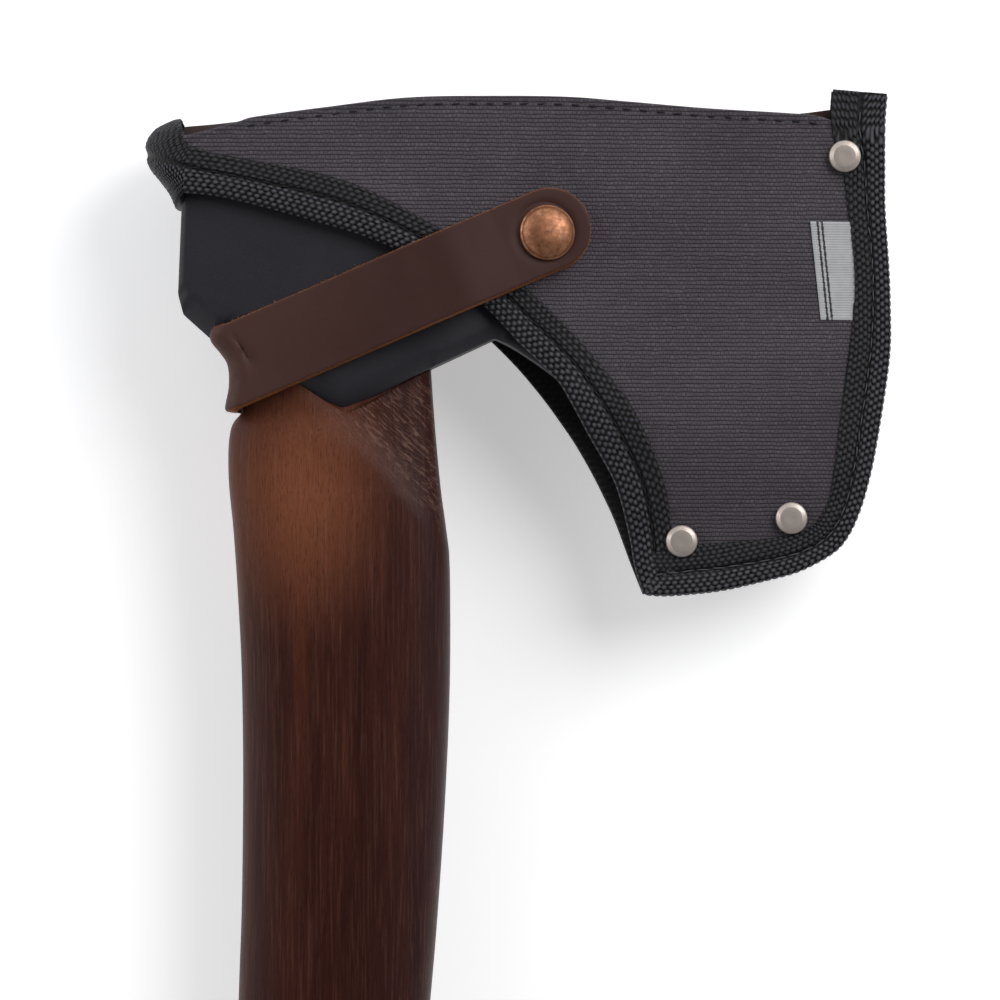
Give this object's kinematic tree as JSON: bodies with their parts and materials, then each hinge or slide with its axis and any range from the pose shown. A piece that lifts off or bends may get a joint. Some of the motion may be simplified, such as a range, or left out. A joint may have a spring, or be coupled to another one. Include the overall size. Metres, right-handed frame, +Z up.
{
  "type": "carving hatchet",
  "caption": "Carving hatchet with a dark wooden handle, its black head inside a draw-off canvas blade cover with taped edges, rivets and a snap strap round the neck.",
  "frame": {"origin": "middle of the object's bounding box, on the plane of its lowest point, where it lies on its back face", "axes": "+Z up, out of the front face that carries the snap; +X from the poll towards the cutting edge; +Y along the handle from the knob to the head"},
  "size_m": [0.1681, 0.3878, 0.0408],
  "materials": {
    "black_steel": "matte black oxide on forged steel",
    "stained_wood": "dark walnut stain, oiled",
    "pale_wood": "bare hardwood",
    "bright_steel": "plain",
    "waxed_canvas": "waxed plain weave",
    "brown_leather": "oiled, with raw edges",
    "black_tape": "ribbed nylon webbing",
    "nickel": "nickel plated",
    "aged_copper": "aged copper plating",
    "woven_tag": "plain woven tag"
  },
  "bodies": {
    "hatchet": {"axe_head": "black_steel", "handle": "stained_wood", "eye_wedge": "pale_wood", "steel_wedge": "bright_steel"},
    "sheath": {"front_panel": "waxed_canvas", "back_panel": "waxed_canvas", "top_gusset": "brown_leather", "edge_welt": "brown_leather", "edge_binding": "black_tape", "mouth_binding_front": "black_tape", "mouth_binding_back": "black_tape", "mouth_binding_poll": "black_tape", "rivet_caps_front": "nickel", "rivet_caps_back": "nickel", "rivet_posts": "nickel", "side_label": "woven_tag", "snap_stud": "aged_copper", "snap_post": "aged_copper", "strap_root": "brown_leather", "strap_anchor_cap": "aged_copper", "strap_anchor_post": "aged_copper"},
    "strap_wrap": {"strap_wrap": "brown_leather"},
    "strap_tip": {"strap_front": "brown_leather", "snap_cap": "aged_copper", "snap_socket": "aged_copper", "snap_spring": "bright_steel"}
  },
  "joints": [
    {"name": "sheath_draw", "type": "slide", "parent": "hatchet", "child": "sheath", "axis": [0.9781, 0.2079, 0], "range_m": [0, 0.28], "deforming": ["mouth_binding_poll"]},
    {"name": "strap_fold_back", "type": "hinge", "parent": "sheath", "child": "strap_wrap", "pos_m": [-0.06591, 0.13061, 0.00445], "axis": [0.2198, -0.9755, 0], "range_deg": [0, 80], "deforming": ["strap_wrap"]},
    {"name": "strap_fold_front", "type": "hinge", "parent": "strap_wrap", "child": "strap_tip", "pos_m": [-0.06591, 0.13061, 0.03605], "axis": [0.2198, -0.9755, 0], "range_deg": [0, 80], "deforming": ["snap_spring"]}
  ],
  "couplings": [
    {"joint": "strap_fold_front", "follows": "strap_fold_back", "ratio": 1}
  ]
}
